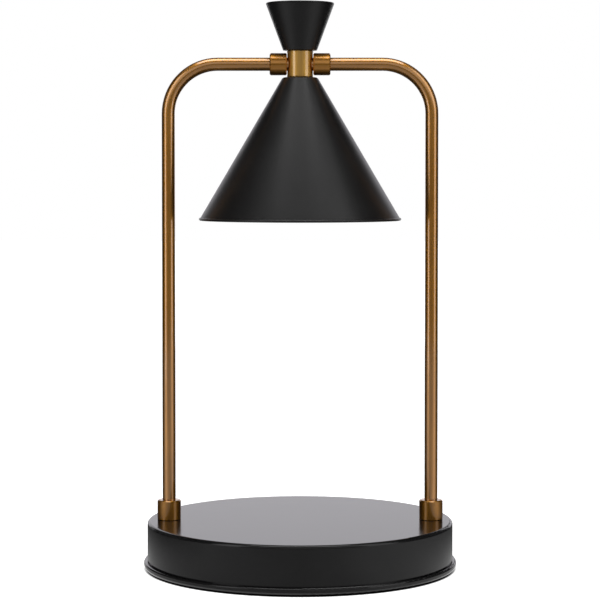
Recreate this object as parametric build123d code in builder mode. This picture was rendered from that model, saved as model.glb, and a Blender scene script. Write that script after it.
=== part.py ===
from build123d import *
import os
from math import cos, radians, sqrt, tan, atan2

# A table lamp that warms what stands on its base. The round base carries two bent tubes, and a hub
# between them carries a conical shade with a reflector bulb. Millimetres, +Z up, the front is -Y. The
# origin is at the centre of the footprint, on the surface that the feet stand on.

# Base: a deep round housing closed from below by a flat cover inside its bead
foot_proud = 1.0
foot_radius = 7.0
foot_recess = 0.8
foot_ring_inset = 15.1
foot_count = 4
cover_thickness = 1.9
cover_edge_round = 0.4
base_height = 28.0
base_wall = 1.5
base_edge_round = 2.0
drum_radius = 93.1
bead_overhang = 2.2
bead_height = 3.9
bead_edge_round = 1.3
groove_height = 1.0
groove_depth = 0.7
post_radius = 4.0
post_ring_inset = 17.1
post_count = 4
post_angle = 45.0

# Ballast and wiring inside the base
ballast_radius = 52.0
ballast_height = 8.0
ballast_edge = 1.0
ballast_screw_offset = 30.0
block_offset = 30.0
block_length = 20.0
block_width = 22.0
block_height = 12.0
block_edge_round = 1.0
way_spacing = 10.0
insert_radius = 2.5
insert_bore = 1.6
terminal_screw_radius = 1.2
terminal_screw_length = 4.0
inlet_height = 14.0
inlet_bore = 3.1
grommet_neck_radius = 4.5
grommet_lip_radius = 6.5
grommet_lip_setback = 0.2
grommet_lip_inside = 1.5

# Tube frame
arm_inset = 13.1
tube_radius = 4.0
tube_wall = 1.0
bend_radius = 30.0
bar_height = 305.4
trunnion_end = 4.2
base_ferrule_radius = 7.2
base_ferrule_height = 12.0
ferrule_chamfer = 0.6
hub_ferrule_radius = 6.75
hub_ferrule_length = 10.4
lock_washer_radius = 8.0
lock_washer_thickness = 1.0
lock_nut_flats = 14.0
lock_nut_height = 4.0
tube_end_proud = 1.0
grub_radius = 1.5

# Hub and finial
hub_radius = 8.0
hub_height = 16.3
hub_below_bar = 8.0
hub_chamfer = 0.5
hub_flat_depth = 0.3
finial_bottom_radius = 10.3
finial_top_radius = 20.5
finial_height = 27.5
finial_wall = 1.0
finial_lid_radius = 20.6
finial_lid_thickness = 1.2
finial_lid_round = 0.4
finial_lid_skirt = 3.0
stud_radius = 2.5
stud_in_hub = 3.4
stud_above_hub = 6.5
stud_chamfer = 0.25
finial_nut_flats = 8.0
finial_nut_height = 4.0

# Shade and the hollow nipple that hangs it from the hub
shade_rim_radius = 61.5
shade_top_radius = 10.6
shade_height = 86.7
shade_wall = 1.0
shade_corner_round = 2.0
shade_bead = 0.8
nipple_radius = 5.0
nipple_bore = 3.5
nipple_in_hub = 3.4
nipple_end_proud = 1.0
shade_washer_radius = 8.5
shade_washer_thickness = 1.0
nipple_nut_flats = 14.0
nipple_nut_height = 3.5

# Lampholder for a reflector bulb with a twist-and-lock cap, pins 10 mm apart
bracket_sheet = 1.0
bracket_width = 13.0
bracket_tab = 4.8
bracket_height = 9.9
holder_radius = 14.0
holder_height = 19.2
holder_edge_round = 1.2
holder_floor = 3.7
chamber_height = 3.7
holder_screw_offset = 10.5
contact_radius = 2.2
contact_height = 7.0
contact_bore_depth = 5.0
wire_hole_radius = 1.2

# Bulb
pin_spacing = 10.0
pin_neck_radius = 1.5
pin_neck_length = 4.3
pin_head_radius = 2.5
pin_head_height = 3.0
pin_seat = 4.0
bayonet_turn = 45.0
cap_length = 24.0
cap_width = 15.0
cap_corner_round = 5.0
cap_height = 15.5
cap_spigot_radius = 6.5
cap_spigot_height = 2.0
reflector_radius = 25.0
reflector_lip = 3.5
reflector_depth = 31.0
reflector_neck_radius = 11.5
reflector_wall = 1.2
lens_thickness = 2.0
lens_inset = 0.5
lens_edge_round = 0.5
capsule_radius = 4.5
capsule_height = 18.0
capsule_tip_round = 3.6

# Lead: a round two-core flex
lead_radius = 1.6
core_radius = 0.7
core_offset = 0.8
lead_bend_in_hub = 3.6
lead_bend_at_arm = 8.0
lead_drop = 9.0

# Screws with countersunk heads, and the pan-headed screws of the holder and the terminal block
screw_radius = 1.5
screw_head_radius = 2.75
screw_head_height = 1.25
screw_length = 11.0
ballast_screw_length = 7.0
pan_head_height = 1.8
recess_length = 2.6
recess_width = 0.6
recess_depth = 0.6

# Clearances
seat_gap = 0.05
free_gap = 0.3
loose_gap = 0.4

# Levels
cover_bottom = foot_proud
cover_top = cover_bottom + cover_thickness
bead_top = cover_bottom + bead_height
groove_top = bead_top + groove_height
base_top = cover_bottom + base_height
base_ceiling = base_top - base_wall
ballast_top = cover_top + ballast_height
block_top = ballast_top + block_height
way_height = ballast_top + block_height / 2
inlet_level = cover_bottom + inlet_height
lock_nut_bottom = base_ceiling - lock_washer_thickness - lock_nut_height
tube_bottom = lock_nut_bottom - tube_end_proud
bar_level = cover_bottom + bar_height
hub_bottom = bar_level - hub_below_bar
hub_top = hub_bottom + hub_height
finial_top = hub_top + finial_height
shade_rim = hub_bottom - shade_height
shade_ceiling = hub_bottom - shade_wall
shade_nut_bottom = shade_ceiling - shade_washer_thickness - nipple_nut_height
bridge_bottom = shade_nut_bottom - bracket_sheet
holder_nut_bottom = bridge_bottom - nipple_nut_height
nipple_bottom = holder_nut_bottom - nipple_end_proud
holder_top = shade_nut_bottom - bracket_height
holder_bottom = holder_top - holder_height
chamber_bottom = holder_bottom + holder_floor
chamber_top = chamber_bottom + chamber_height
cap_top = holder_bottom - free_gap
cap_bottom = cap_top - cap_height
reflector_front = cap_bottom - reflector_depth

# Holes that several pieces share
screw_hole = screw_radius + seat_gap
screw_head_hole = screw_head_radius + seat_gap
well_radius = terminal_screw_radius + free_gap
tube_hole = tube_radius + seat_gap
nipple_hole = nipple_radius + seat_gap
stud_hole = stud_radius + seat_gap

# Places that several pieces share
bead_radius = drum_radius + bead_overhang
skirt_radius = drum_radius - groove_depth - base_wall
foot_ring_radius = drum_radius - foot_ring_inset
post_ring_radius = drum_radius - post_ring_inset
arm_offset = drum_radius - arm_inset
hub_flat = hub_radius - hub_flat_depth
hub_ferrule_start = hub_flat + free_gap
grub_offset = hub_ferrule_start + hub_ferrule_length / 2
nut_half_flats = nipple_nut_flats / 2
leg_inside = nut_half_flats + loose_gap
leg_outside = leg_inside + bracket_sheet
pin_offset = pin_spacing / 2
way_offset = way_spacing / 2
lens_level = reflector_front + lens_inset
bottom_face = Plane(origin=(0, 0, cover_bottom), z_dir=(0, 0, -1))
bar_axis = Plane(origin=(0, 0, bar_level), x_dir=(0, 1, 0), z_dir=(1, 0, 0))
rear_plane = Plane(origin=(0, 0, bar_level), x_dir=(1, 0, 0), z_dir=(0, 1, 0))
inlet_plane = Plane(origin=(0, 0, inlet_level), x_dir=(-1, 0, 0), z_dir=(0, 1, 0))
at_base = (Align.CENTER, Align.CENTER, Align.MIN)
at_top = (Align.CENTER, Align.CENTER, Align.MAX)
arm_places = [(-arm_offset, 0), (arm_offset, 0)]
way_rows = [block_offset - way_offset, block_offset + way_offset]
terminal_places = [(x, y) for x in (-way_offset, way_offset) for y in way_rows]
pin_places = [(-pin_offset, 0), (pin_offset, 0)]
holder_screw_places = [(0, -holder_screw_offset), (0, holder_screw_offset)]

os.makedirs("parts", exist_ok=True)


def hexagon_radius(flats):
    """Corner radius of a hexagon nut of this width across its flats."""
    return flats / 2 / cos(radians(30))


# Base housing: a deep cup upside down, with a turned bead round its foot and a shadow groove above it
with BuildPart() as base_housing:
    with BuildSketch(Plane.XZ):
        with BuildLine():
            Polyline(
                (0, base_top),
                (drum_radius, base_top),
                (drum_radius, groove_top),
                (drum_radius - groove_depth, groove_top),
                (drum_radius - groove_depth, bead_top),
                (bead_radius, bead_top),
                (bead_radius, cover_bottom),
                (skirt_radius, cover_bottom),
                (skirt_radius, groove_top + base_wall),
                (drum_radius - base_wall, groove_top + base_wall),
                (drum_radius - base_wall, base_ceiling),
                (0, base_ceiling),
                close=True,
            )
        make_face()
    revolve(axis=Axis.Z)
    fillet(base_housing.edges().group_by(Axis.Z)[-1], base_edge_round)
    fillet(base_housing.edges().filter_by(GeomType.CIRCLE).sort_by(SortBy.RADIUS)[-2:], bead_edge_round)
    with BuildSketch(Plane.XY.offset(cover_top)):
        with PolarLocations(post_ring_radius, post_count, post_angle):
            Circle(post_radius)
            Circle(screw_hole, mode=Mode.SUBTRACT)
    extrude(amount=base_ceiling - cover_top)
    with BuildSketch(Plane.XY.offset(base_ceiling)):
        with Locations(*arm_places):
            Circle(tube_hole)
    extrude(amount=base_wall, mode=Mode.SUBTRACT)
    with BuildSketch(inlet_plane.offset(drum_radius - 2 * base_wall)):
        Circle(grommet_neck_radius + seat_gap)
    extrude(amount=3 * base_wall, mode=Mode.SUBTRACT)
base_housing.part.label = "base_housing"
export_step(base_housing.part, "parts/base_housing.step")

# Base cover: a flat disc inside the bead, with sunk screw holes and recesses for the feet
with BuildPart() as base_cover:
    with BuildSketch(Plane.XY.offset(cover_bottom)):
        Circle(skirt_radius - seat_gap)
    extrude(amount=cover_thickness)
    fillet(base_cover.edges(), cover_edge_round)
    with BuildSketch(Plane.XY.offset(cover_bottom)):
        with PolarLocations(foot_ring_radius, foot_count):
            Circle(foot_radius + seat_gap)
    extrude(amount=foot_recess, mode=Mode.SUBTRACT)
    with Locations(bottom_face):
        with PolarLocations(post_ring_radius, post_count, post_angle):
            CounterSinkHole(screw_hole, screw_head_hole, counter_sink_angle=90)
        with Locations((-ballast_screw_offset, 0), (ballast_screw_offset, 0)):
            CounterSinkHole(screw_hole, screw_head_hole, counter_sink_angle=90)
base_cover.part.label = "base_cover"
export_step(base_cover.part, "parts/base_cover.step")

# Rubber feet, glued into their recesses
with BuildPart() as rubber_feet:
    with BuildSketch():
        with PolarLocations(foot_ring_radius, foot_count):
            Circle(foot_radius)
    extrude(amount=foot_proud + foot_recess)
rubber_feet.part.label = "rubber_feet"
export_step(rubber_feet.part, "parts/rubber_feet.step")

# Ballast: a cast disc on the cover, tapped from below, and from above for the terminal block
with BuildPart() as ballast_weight:
    with BuildSketch(Plane.XY.offset(cover_top)):
        Circle(ballast_radius)
    extrude(amount=ballast_height)
    chamfer(ballast_weight.edges(), ballast_edge)
    with BuildSketch(Plane.XY.offset(cover_top)):
        with Locations((-ballast_screw_offset, 0), (ballast_screw_offset, 0)):
            Circle(screw_hole)
        with Locations((0, block_offset)):
            Circle(screw_hole)
    extrude(amount=ballast_height, mode=Mode.SUBTRACT)
ballast_weight.part.label = "ballast_weight"
export_step(ballast_weight.part, "parts/ballast_weight.step")

# Cover screws, one into each post of the housing
with BuildPart(Plane.XY.offset(cover_bottom)) as cover_screws:
    with PolarLocations(post_ring_radius, post_count, post_angle):
        Cone(screw_head_radius, screw_radius, screw_head_height, align=at_base)
        Cylinder(screw_radius, screw_length, align=at_base)
        Box(recess_length, recess_width, recess_depth, align=at_base, mode=Mode.SUBTRACT)
        Box(recess_width, recess_length, recess_depth, align=at_base, mode=Mode.SUBTRACT)
cover_screws.part.label = "cover_screws"
export_step(cover_screws.part, "parts/cover_screws.step")

# Ballast screws, from below through the cover
with BuildPart(Plane.XY.offset(cover_bottom)) as ballast_screws:
    with Locations((-ballast_screw_offset, 0), (ballast_screw_offset, 0)):
        Cone(screw_head_radius, screw_radius, screw_head_height, align=at_base)
        Cylinder(screw_radius, ballast_screw_length, align=at_base)
        Box(recess_length, recess_width, recess_depth, align=at_base, mode=Mode.SUBTRACT)
        Box(recess_width, recess_length, recess_depth, align=at_base, mode=Mode.SUBTRACT)
ballast_screws.part.label = "ballast_screws"
export_step(ballast_screws.part, "parts/ballast_screws.step")

# Terminal block: a moulded body with two ways along X, a screw well at each end of a way
with BuildPart() as terminal_block:
    with BuildSketch(Plane.XY.offset(ballast_top)):
        with Locations((0, block_offset)):
            RectangleRounded(block_length, block_width, block_edge_round)
    extrude(amount=block_height)
    with BuildSketch(Plane.YZ.offset(-block_length / 2)):
        with Locations(*[(y, way_height) for y in way_rows]):
            Circle(insert_radius + seat_gap)
    extrude(amount=block_length, mode=Mode.SUBTRACT)
    with Locations(Plane.XY.offset(block_top)):
        with Locations(*terminal_places):
            Cylinder(well_radius, block_top - way_height, align=at_top, mode=Mode.SUBTRACT)
        with Locations((0, block_offset)):
            CounterBoreHole(screw_hole, screw_head_hole, pan_head_height, block_height)
terminal_block.part.label = "terminal_block"
export_step(terminal_block.part, "parts/terminal_block.step")

# Terminal inserts: a brass sleeve in each way, tapped for two clamping screws
with BuildPart() as terminal_inserts:
    with BuildSketch(Plane.YZ.offset(-block_length / 2 + block_edge_round)):
        with Locations(*[(y, way_height) for y in way_rows]):
            Circle(insert_radius)
            Circle(insert_bore, mode=Mode.SUBTRACT)
    extrude(amount=block_length - 2 * block_edge_round)
    with Locations(Plane.XY.offset(way_height)):
        with Locations(*terminal_places):
            Cylinder(terminal_screw_radius + seat_gap, insert_radius, align=at_base, mode=Mode.SUBTRACT)
terminal_inserts.part.label = "terminal_inserts"
export_step(terminal_inserts.part, "parts/terminal_inserts.step")

# Terminal screws, each with its tip just above the core that it clamps
with BuildPart(Plane.XY.offset(way_height + core_radius + seat_gap)) as terminal_screws:
    with Locations(*terminal_places):
        Cylinder(terminal_screw_radius, terminal_screw_length, align=at_base)
    with Locations(*[(x, y, terminal_screw_length) for x, y in terminal_places]):
        Box(2 * terminal_screw_radius, recess_width / 2, recess_depth, align=at_top, mode=Mode.SUBTRACT)
terminal_screws.part.label = "terminal_screws"
export_step(terminal_screws.part, "parts/terminal_screws.step")

# Block screw, holding the terminal block on the ballast
with BuildPart(Plane(origin=(0, block_offset, block_top))) as block_screw:
    Cylinder(screw_head_radius, pan_head_height, align=at_top)
    Cylinder(screw_radius, block_height + ballast_height / 2, align=at_top)
    Box(recess_length, recess_width, recess_depth, align=at_top, mode=Mode.SUBTRACT)
    Box(recess_width, recess_length, recess_depth, align=at_top, mode=Mode.SUBTRACT)
block_screw.part.label = "block_screw"
export_step(block_screw.part, "parts/block_screw.step")

# Cord grommet: a ring gripping the rear wall, with a lip on each side of it, the outer one behind the bead
grommet_outside = drum_radius + seat_gap
grommet_inside = sqrt((drum_radius - base_wall) ** 2 - grommet_lip_radius**2) - seat_gap
grommet_back = grommet_inside - grommet_lip_inside
grommet_front = bead_radius - grommet_lip_setback
grommet_lip_outside = grommet_front - grommet_outside
with BuildPart() as cord_grommet:
    with BuildSketch(inlet_plane.offset(grommet_back)):
        Circle(grommet_lip_radius)
    extrude(amount=grommet_lip_inside)
    with BuildSketch(inlet_plane.offset(grommet_inside)):
        Circle(grommet_neck_radius)
    extrude(amount=grommet_outside - grommet_inside)
    with BuildSketch(inlet_plane.offset(grommet_outside)):
        Circle(grommet_lip_radius)
    extrude(amount=grommet_lip_outside)
    fillet(cord_grommet.edges().group_by(Axis.Y)[-1], grommet_lip_outside / 2)
    with BuildSketch(inlet_plane.offset(grommet_back)):
        Circle(inlet_bore)
    extrude(amount=grommet_front - grommet_back, mode=Mode.SUBTRACT)
cord_grommet.part.label = "cord_grommet"
export_step(cord_grommet.part, "parts/cord_grommet.step")

# Arms: one tube each side, up from inside the base, round a bend and along to the hub as a trunnion
for side, sign in (("left", -1), ("right", 1)):
    with BuildPart() as arm:
        with BuildLine():
            FilletPolyline(
                (sign * arm_offset, 0, tube_bottom),
                (sign * arm_offset, 0, bar_level),
                (sign * trunnion_end, 0, bar_level),
                radius=bend_radius,
            )
        with BuildSketch(Plane(origin=(sign * arm_offset, 0, tube_bottom))):
            Circle(tube_radius)
            Circle(tube_radius - tube_wall, mode=Mode.SUBTRACT)
        sweep()
    arm.part.label = f"{side}_arm"
    export_step(arm.part, f"parts/{side}_arm.step")

    # Base ferrule: the collar that the arm's lock nut pulls down on the base
    with BuildPart() as base_ferrule:
        with BuildSketch(Plane(origin=(sign * arm_offset, 0, base_top))):
            Circle(base_ferrule_radius)
        extrude(amount=base_ferrule_height)
        chamfer(base_ferrule.edges().group_by(Axis.Z)[-1], ferrule_chamfer)
        chamfer(base_ferrule.edges().group_by(Axis.Z)[0], ferrule_chamfer / 2)
        with BuildSketch(Plane(origin=(sign * arm_offset, 0, base_top))):
            Circle(tube_hole)
        extrude(amount=base_ferrule_height, mode=Mode.SUBTRACT)
    base_ferrule.part.label = f"{side}_base_ferrule"
    export_step(base_ferrule.part, f"parts/{side}_base_ferrule.step")

    # Hub ferrule: the collar on the crossbar beside the hub, tapped at the rear for its grub screw
    with BuildPart() as hub_ferrule:
        with BuildSketch(bar_axis.offset(sign * hub_ferrule_start)):
            Circle(hub_ferrule_radius)
        extrude(amount=sign * hub_ferrule_length)
        chamfer(hub_ferrule.edges().filter_by(GeomType.CIRCLE), ferrule_chamfer)
        with BuildSketch(bar_axis.offset(sign * hub_ferrule_start)):
            Circle(tube_hole)
        extrude(amount=sign * hub_ferrule_length, mode=Mode.SUBTRACT)
        with BuildSketch(rear_plane):
            with Locations((sign * grub_offset, 0)):
                Circle(grub_radius + seat_gap)
        extrude(amount=hub_ferrule_radius, mode=Mode.SUBTRACT)
    hub_ferrule.part.label = f"{side}_hub_ferrule"
    export_step(hub_ferrule.part, f"parts/{side}_hub_ferrule.step")

# Grub screws in the hub ferrules, sunk in from the rear
grub_length = hub_ferrule_radius - tube_hole - seat_gap
with BuildPart(rear_plane.offset(tube_hole)) as ferrule_screws:
    with Locations((-grub_offset, 0), (grub_offset, 0)):
        Cylinder(grub_radius, grub_length, align=at_base)
    with Locations((-grub_offset, 0, grub_length), (grub_offset, 0, grub_length)):
        Box(2 * grub_radius, recess_width, recess_depth, align=at_top, mode=Mode.SUBTRACT)
ferrule_screws.part.label = "ferrule_screws"
export_step(ferrule_screws.part, "parts/ferrule_screws.step")

# Lock washers, against the ceiling of the base
with BuildPart() as arm_lock_washers:
    with BuildSketch(Plane.XY.offset(base_ceiling - lock_washer_thickness)):
        with Locations(*arm_places):
            Circle(lock_washer_radius)
            Circle(tube_hole, mode=Mode.SUBTRACT)
    extrude(amount=lock_washer_thickness)
arm_lock_washers.part.label = "arm_lock_washers"
export_step(arm_lock_washers.part, "parts/arm_lock_washers.step")

# Lock nuts on the lower ends of the tubes
with BuildPart() as arm_lock_nuts:
    with BuildSketch(Plane.XY.offset(lock_nut_bottom)):
        with Locations(*arm_places):
            RegularPolygon(hexagon_radius(lock_nut_flats), 6)
            Circle(tube_hole, mode=Mode.SUBTRACT)
    extrude(amount=lock_nut_height)
arm_lock_nuts.part.label = "arm_lock_nuts"
export_step(arm_lock_nuts.part, "parts/arm_lock_nuts.step")

# Hub: turns on the two tube ends, and is tapped above for the finial and below for the shade
with BuildPart() as hub:
    with BuildSketch(Plane.XY.offset(hub_bottom)):
        Circle(hub_radius)
    extrude(amount=hub_height)
    chamfer(hub.edges().filter_by(GeomType.CIRCLE), hub_chamfer)
    with BuildSketch(bar_axis.offset(-hub_radius)):
        Circle(tube_hole)
    extrude(amount=2 * hub_radius, mode=Mode.SUBTRACT)
    for sign in (-1, 1):
        with BuildSketch(bar_axis.offset(sign * hub_flat)):
            Circle(hub_ferrule_radius + free_gap)
        extrude(amount=sign * hub_flat_depth, mode=Mode.SUBTRACT)
    with BuildSketch(Plane.XY.offset(hub_bottom)):
        Circle(nipple_hole)
    extrude(amount=nipple_in_hub, mode=Mode.SUBTRACT)
    with BuildSketch(Plane.XY.offset(hub_bottom)):
        Circle(nipple_bore)
    extrude(amount=hub_below_bar, mode=Mode.SUBTRACT)
    with BuildSketch(Plane.XY.offset(hub_top)):
        Circle(stud_hole)
    extrude(amount=-stud_in_hub, mode=Mode.SUBTRACT)
hub.part.label = "hub"
export_step(hub.part, "parts/hub.step")

# Finial cone: a spun cup, wide end up, seated on the hub
finial_slope = atan2(finial_top_radius - finial_bottom_radius, finial_height)
finial_shift = finial_wall / cos(finial_slope)
finial_floor_radius = finial_bottom_radius + finial_wall * tan(finial_slope) - finial_shift
with BuildPart() as finial_cone:
    with BuildSketch(Plane.XZ):
        with BuildLine():
            Polyline(
                (stud_hole, hub_top),
                (finial_bottom_radius, hub_top),
                (finial_top_radius, finial_top),
                (finial_top_radius - finial_shift, finial_top),
                (finial_floor_radius, hub_top + finial_wall),
                (stud_hole, hub_top + finial_wall),
                close=True,
            )
        make_face()
    revolve(axis=Axis.Z)
    fillet(finial_cone.edges().group_by(Axis.Z)[0].sort_by(SortBy.RADIUS)[-1], finial_wall / 2)
finial_cone.part.label = "finial_cone"
export_step(finial_cone.part, "parts/finial_cone.step")

# Finial lid: a disc with a short skirt pressed into the cone's mouth
lid_skirt_radius = finial_top_radius - finial_shift - finial_lid_skirt * tan(finial_slope) - seat_gap
with BuildPart() as finial_lid:
    with BuildSketch(Plane.XY.offset(finial_top)):
        Circle(finial_lid_radius)
    extrude(amount=finial_lid_thickness)
    fillet(finial_lid.edges(), finial_lid_round)
    with BuildSketch(Plane.XY.offset(finial_top)):
        Circle(lid_skirt_radius)
        Circle(lid_skirt_radius - finial_wall, mode=Mode.SUBTRACT)
    extrude(amount=-finial_lid_skirt)
finial_lid.part.label = "finial_lid"
export_step(finial_lid.part, "parts/finial_lid.step")

# Finial stud, screwed into the top of the hub
with BuildPart() as finial_stud:
    with BuildSketch(Plane.XY.offset(hub_top - stud_in_hub)):
        Circle(stud_radius)
    extrude(amount=stud_in_hub + stud_above_hub)
    chamfer(finial_stud.edges(), stud_chamfer)
finial_stud.part.label = "finial_stud"
export_step(finial_stud.part, "parts/finial_stud.step")

# Finial nut, inside the cone
with BuildPart() as finial_nut:
    with BuildSketch(Plane.XY.offset(hub_top + finial_wall)):
        RegularPolygon(hexagon_radius(finial_nut_flats), 6)
        Circle(stud_hole, mode=Mode.SUBTRACT)
    extrude(amount=finial_nut_height)
finial_nut.part.label = "finial_nut"
export_step(finial_nut.part, "parts/finial_nut.step")

# Shade: a spun cone, open below, with its rim rolled to a small bead
shade_slope = atan2(shade_rim_radius - shade_top_radius, shade_height)
shade_shift = shade_wall / cos(shade_slope)
shade_ceiling_radius = shade_top_radius + shade_wall * tan(shade_slope) - shade_shift
with BuildPart() as shade:
    with BuildSketch(Plane.XZ):
        with BuildLine():
            Polyline(
                (nipple_hole, hub_bottom),
                (shade_top_radius, hub_bottom),
                (shade_rim_radius - shade_bead * tan(shade_slope), shade_rim + shade_bead),
                (shade_rim_radius - shade_bead * tan(shade_slope) - shade_shift, shade_rim + shade_bead),
                (shade_ceiling_radius, shade_ceiling),
                (nipple_hole, shade_ceiling),
                close=True,
            )
        make_face()
    revolve(axis=Axis.Z)
    fillet(shade.edges().group_by(Axis.Z)[-1].sort_by(SortBy.RADIUS)[-1], shade_corner_round)
    with BuildSketch(Plane.XZ):
        with Locations((shade_rim_radius - shade_bead, shade_rim + shade_bead)):
            Circle(shade_bead)
    revolve(axis=Axis.Z)
shade.part.label = "shade"
export_step(shade.part, "parts/shade.step")

# Shade nipple: the hollow threaded stem from the hub down to the lampholder
with BuildPart() as shade_nipple:
    with BuildSketch(Plane.XY.offset(nipple_bottom)):
        Circle(nipple_radius)
        Circle(nipple_bore, mode=Mode.SUBTRACT)
    extrude(amount=hub_bottom + nipple_in_hub - nipple_bottom)
shade_nipple.part.label = "shade_nipple"
export_step(shade_nipple.part, "parts/shade_nipple.step")

# Shade washer
with BuildPart() as shade_washer:
    with BuildSketch(Plane.XY.offset(shade_ceiling - shade_washer_thickness)):
        Circle(shade_washer_radius)
        Circle(nipple_hole, mode=Mode.SUBTRACT)
    extrude(amount=shade_washer_thickness)
shade_washer.part.label = "shade_washer"
export_step(shade_washer.part, "parts/shade_washer.step")

# Nuts on the nipple: one clamps the shade, one clamps the bracket below it
for name, level in (("shade_nut", shade_nut_bottom), ("holder_nut", holder_nut_bottom)):
    with BuildPart() as nipple_nut:
        with BuildSketch(Plane.XY.offset(level)):
            RegularPolygon(hexagon_radius(nipple_nut_flats), 6)
            Circle(nipple_hole, mode=Mode.SUBTRACT)
        extrude(amount=nipple_nut_height)
    nipple_nut.part.label = name
    export_step(nipple_nut.part, f"parts/{name}.step")

# Holder bracket: a hat-shaped strap whose two tabs lie on the lampholder
with BuildPart() as holder_bracket:
    with BuildSketch(Plane.YZ.offset(-bracket_width / 2)):
        with BuildLine():
            Polyline(
                (-leg_outside - bracket_tab, holder_top),
                (-leg_inside, holder_top),
                (-leg_inside, bridge_bottom),
                (leg_inside, bridge_bottom),
                (leg_inside, holder_top),
                (leg_outside + bracket_tab, holder_top),
                (leg_outside + bracket_tab, holder_top + bracket_sheet),
                (leg_outside, holder_top + bracket_sheet),
                (leg_outside, shade_nut_bottom),
                (-leg_outside, shade_nut_bottom),
                (-leg_outside, holder_top + bracket_sheet),
                (-leg_outside - bracket_tab, holder_top + bracket_sheet),
                close=True,
            )
        make_face()
    extrude(amount=bracket_width)
    with BuildSketch(Plane.XY.offset(bridge_bottom)):
        Circle(nipple_hole)
    extrude(amount=bracket_sheet, mode=Mode.SUBTRACT)
    with BuildSketch(Plane.XY.offset(holder_top)):
        with Locations(*holder_screw_places):
            Circle(screw_hole)
    extrude(amount=bracket_sheet, mode=Mode.SUBTRACT)
holder_bracket.part.label = "holder_bracket"
export_step(holder_bracket.part, "parts/holder_bracket.step")

# Lampholder: a ceramic drum, two keyhole slots in its floor and a chamber where the pin heads turn
chamber_radius = pin_offset + pin_head_radius + free_gap
entry_radius = pin_head_radius + free_gap
slot_width = 2 * (pin_neck_radius + free_gap)
with BuildPart() as lampholder:
    with BuildSketch(Plane.XY.offset(holder_bottom)):
        Circle(holder_radius)
    extrude(amount=holder_height)
    fillet(lampholder.edges().filter_by(GeomType.CIRCLE), holder_edge_round)
    with BuildSketch(Plane.XY.offset(chamber_bottom)):
        Circle(chamber_radius)
        Circle(pin_offset - entry_radius, mode=Mode.SUBTRACT)
    extrude(amount=chamber_height, mode=Mode.SUBTRACT)
    with BuildSketch(Plane.XY.offset(holder_bottom)):
        for start in (-bayonet_turn, 180 - bayonet_turn):
            SlotArc(CenterArc((0, 0), pin_offset, start, bayonet_turn, mode=Mode.PRIVATE), slot_width)
        with PolarLocations(pin_offset, 2, -bayonet_turn):
            Circle(entry_radius)
    extrude(amount=holder_floor, mode=Mode.SUBTRACT)
    with BuildSketch(Plane.XY.offset(chamber_top)):
        with Locations(*pin_places):
            Circle(contact_radius + seat_gap)
    extrude(amount=contact_height, mode=Mode.SUBTRACT)
    with BuildSketch(Plane.XY.offset(chamber_top)):
        with Locations(*pin_places):
            Circle(wire_hole_radius)
        with Locations(*holder_screw_places):
            Circle(screw_hole)
    extrude(amount=holder_top - chamber_top, mode=Mode.SUBTRACT)
    with BuildSketch(Plane.XY.offset(holder_bottom)):
        with Locations(*holder_screw_places):
            Circle(screw_hole)
    extrude(amount=holder_height, mode=Mode.SUBTRACT)
    with BuildSketch(Plane.XY.offset(holder_bottom)):
        with Locations(*holder_screw_places):
            Circle(screw_head_hole)
    extrude(amount=pan_head_height + seat_gap, mode=Mode.SUBTRACT)
lampholder.part.label = "lampholder"
export_step(lampholder.part, "parts/lampholder.step")

# Holder contacts: a sleeve over each pin head, bored from above for the lead's core
with BuildPart() as holder_contacts:
    with BuildSketch(Plane.XY.offset(chamber_top)):
        with Locations(*pin_places):
            Circle(contact_radius)
    extrude(amount=contact_height)
    with BuildSketch(Plane.XY.offset(chamber_top + contact_height)):
        with Locations(*pin_places):
            Circle(core_radius + seat_gap)
    extrude(amount=-contact_bore_depth, mode=Mode.SUBTRACT)
holder_contacts.part.label = "holder_contacts"
export_step(holder_contacts.part, "parts/holder_contacts.step")

# Holder screws, up through the lampholder into the bracket's tabs
holder_screw_foot = holder_bottom + seat_gap
with BuildPart(Plane.XY.offset(holder_screw_foot)) as holder_screws:
    with Locations(*holder_screw_places):
        Cylinder(screw_head_radius, pan_head_height, align=at_base)
        Cylinder(screw_radius, holder_height + 2 * bracket_sheet, align=at_base)
        Box(recess_length, recess_width, recess_depth, align=at_base, mode=Mode.SUBTRACT)
        Box(recess_width, recess_length, recess_depth, align=at_base, mode=Mode.SUBTRACT)
holder_screws.part.label = "holder_screws"
export_step(holder_screws.part, "parts/holder_screws.step")

# Bulb cap: an oblong ceramic block with a spigot in the reflector's neck and two pin holes
with BuildPart() as bulb_cap:
    with BuildSketch(Plane.XY.offset(cap_bottom)):
        RectangleRounded(cap_length, cap_width, cap_corner_round)
    extrude(amount=cap_height)
    with BuildSketch(Plane.XY.offset(cap_bottom)):
        Circle(cap_spigot_radius)
    extrude(amount=-cap_spigot_height)
    with BuildSketch(Plane.XY.offset(cap_top)):
        with Locations(*pin_places):
            Circle(pin_neck_radius + seat_gap)
    extrude(amount=-pin_seat, mode=Mode.SUBTRACT)
bulb_cap.part.label = "bulb_cap"
export_step(bulb_cap.part, "parts/bulb_cap.step")

# Bulb pins, with a head that locks behind the lampholder's floor
with BuildPart() as bulb_pins:
    with BuildSketch(Plane.XY.offset(cap_top - pin_seat)):
        with Locations(*pin_places):
            Circle(pin_neck_radius)
    extrude(amount=pin_seat + pin_neck_length)
    with BuildSketch(Plane.XY.offset(cap_top + pin_neck_length)):
        with Locations(*pin_places):
            Circle(pin_head_radius)
    extrude(amount=pin_head_height)
bulb_pins.part.label = "bulb_pins"
export_step(bulb_pins.part, "parts/bulb_pins.step")

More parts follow.
